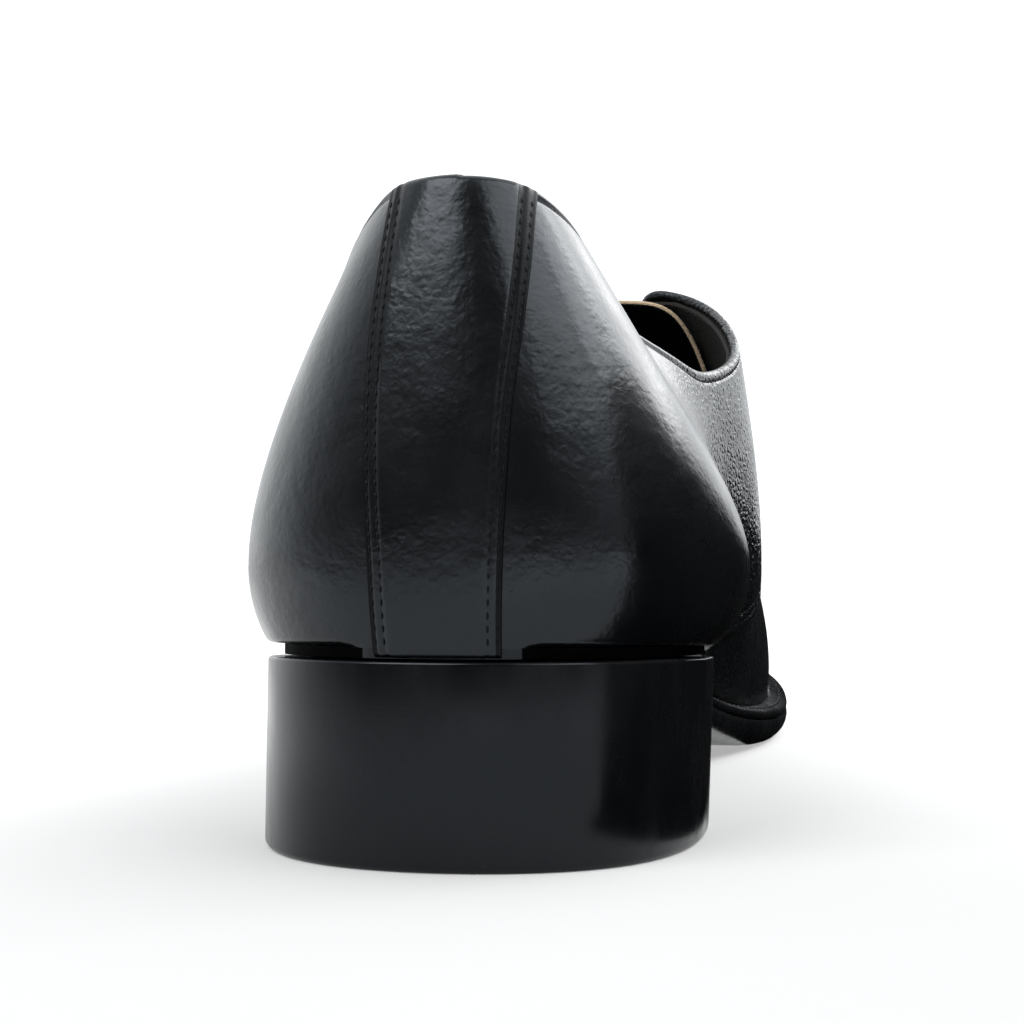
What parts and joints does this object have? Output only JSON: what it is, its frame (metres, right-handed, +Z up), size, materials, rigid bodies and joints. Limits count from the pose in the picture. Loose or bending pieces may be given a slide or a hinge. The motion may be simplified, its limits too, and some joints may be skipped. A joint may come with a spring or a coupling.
{
  "type": "service shoe",
  "caption": "Plain low lace-up leather shoe for the left foot, open at collar and throat, with back strap, welt, arched outsole and straight-breasted block heel.",
  "frame": {"origin": "on the floor under the middle of the whole shoe's box", "axes": "+Y towards the toe, +X towards the inner side of the foot, +Z up"},
  "size_m": [0.097, 0.297, 0.0955],
  "materials": {
    "leather": "polished black leather with a fine grain",
    "lining": "plain dark lining leather",
    "sole": "smooth black, half gloss",
    "lace": "round waxed cord, black"
  },
  "bodies": {
    "root": {"outsole": "sole", "heel_block": "sole", "welt": "sole", "insole": "lining", "upper": "leather", "quarter_lateral": "leather", "quarter_medial": "leather", "back_strap": "leather", "tongue": "leather", "lace_bar_1": "lace", "lace_bar_2": "lace", "lace_bar_3": "lace", "lace_bar_4": "lace", "lace_bar_5": "lace"}
  },
  "joints": []
}
